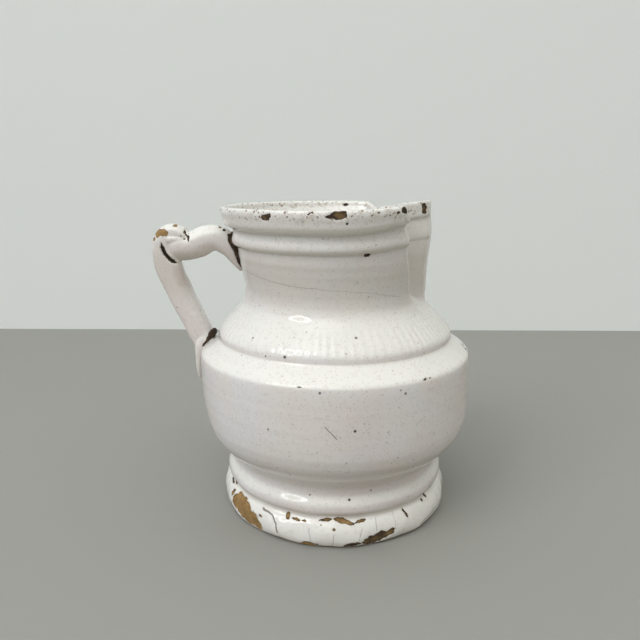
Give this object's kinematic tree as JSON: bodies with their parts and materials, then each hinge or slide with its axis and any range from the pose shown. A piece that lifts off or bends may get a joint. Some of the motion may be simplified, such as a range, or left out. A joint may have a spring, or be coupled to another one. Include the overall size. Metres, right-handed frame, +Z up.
{
  "type": "ceramic pitcher",
  "caption": "Round-bellied glazed pitcher with a spreading foot, moulded neck, pinched pouring spout and a folded coil handle.",
  "frame": {"origin": "on the axis of the vessel, in the plane of the flat base it stands on", "axes": "+Z up along the axis of the vessel, +X towards the pinched spout, -X towards the handle, +Y to the left of someone pouring"},
  "size_m": [0.2157, 0.1844, 0.205],
  "materials": {
    "fired_clay": "matt porous earthenware, ochre",
    "joint_slip": "matt fired slip",
    "tin_glaze": "glossy opaque white tin glaze, crazed and pitted"
  },
  "bodies": {
    "root": {"clay_body": "fired_clay", "handle_coil": "fired_clay", "upper_joint_slip": "joint_slip", "lower_joint_slip": "joint_slip", "outside_glaze": "tin_glaze", "inside_glaze": "tin_glaze", "handle_glaze": "tin_glaze"}
  },
  "joints": []
}
